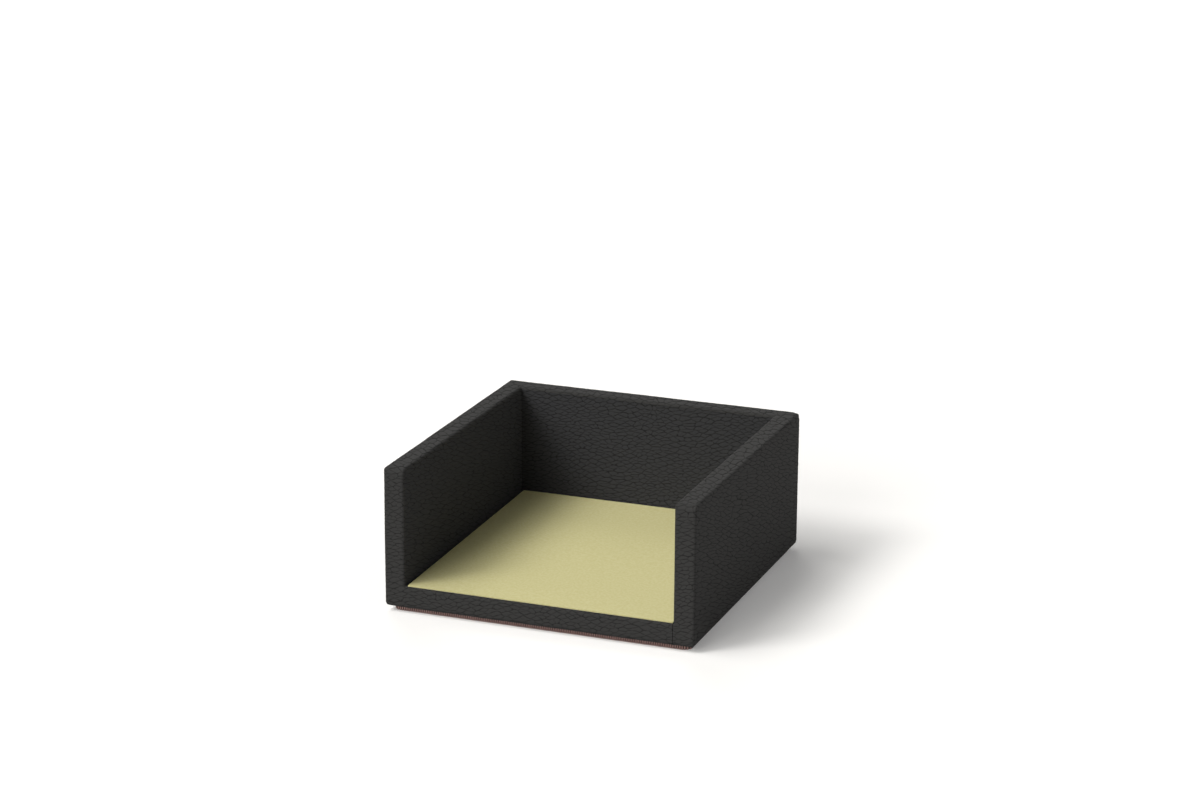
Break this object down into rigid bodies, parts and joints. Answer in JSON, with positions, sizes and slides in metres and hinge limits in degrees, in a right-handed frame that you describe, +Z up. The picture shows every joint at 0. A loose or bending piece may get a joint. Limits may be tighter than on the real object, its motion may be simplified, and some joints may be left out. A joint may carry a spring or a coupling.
{
  "type": "sticky note holder",
  "caption": "Open-fronted desk tray for sticky notes: boards covered in black grained leather, walls on the sides and back, and a loose pad of pale yellow notes lying on its floor.",
  "frame": {"origin": "middle of the underside of the base sheet, on the table", "axes": "+X to the right, +Y towards the back wall, +Z up; the open front faces -Y"},
  "size_m": [0.089, 0.0904, 0.0409],
  "materials": {
    "board": "raw fibreboard, hidden under the leather",
    "pin_steel": "bright drawn wire",
    "black_leather": "pebble grain, soft satin",
    "filler_card": "uncoated grey card",
    "base_cloth": "fine ribbed weave, reddish brown",
    "backing_paper": "uncoated",
    "note_paper": "uncoated, pale yellow"
  },
  "bodies": {
    "holder": {"floor_board": "board", "left_board": "board", "right_board": "board", "back_board": "board", "left_floor_pins": "pin_steel", "right_floor_pins": "pin_steel", "back_floor_pins": "pin_steel", "left_corner_pins": "pin_steel", "right_corner_pins": "pin_steel", "outer_cover": "black_leather", "floor_cover": "black_leather", "left_lining": "black_leather", "right_lining": "black_leather", "back_lining": "black_leather", "base_filler": "filler_card", "base_sheet": "base_cloth"},
    "note_pad": {"pad_backing": "backing_paper", "note_block": "note_paper"},
    "loose_note": {"top_note": "note_paper"}
  },
  "joints": [
    {"name": "pad_slide", "type": "slide", "parent": "holder", "child": "note_pad", "axis": [0, -1, 0], "range_m": [0, 0.09]},
    {"name": "note_peel", "type": "hinge", "parent": "note_pad", "child": "loose_note", "pos_m": [0, 0.03875, 0.00865], "axis": [-1, 0, 0], "range_deg": [0, 80]}
  ]
}
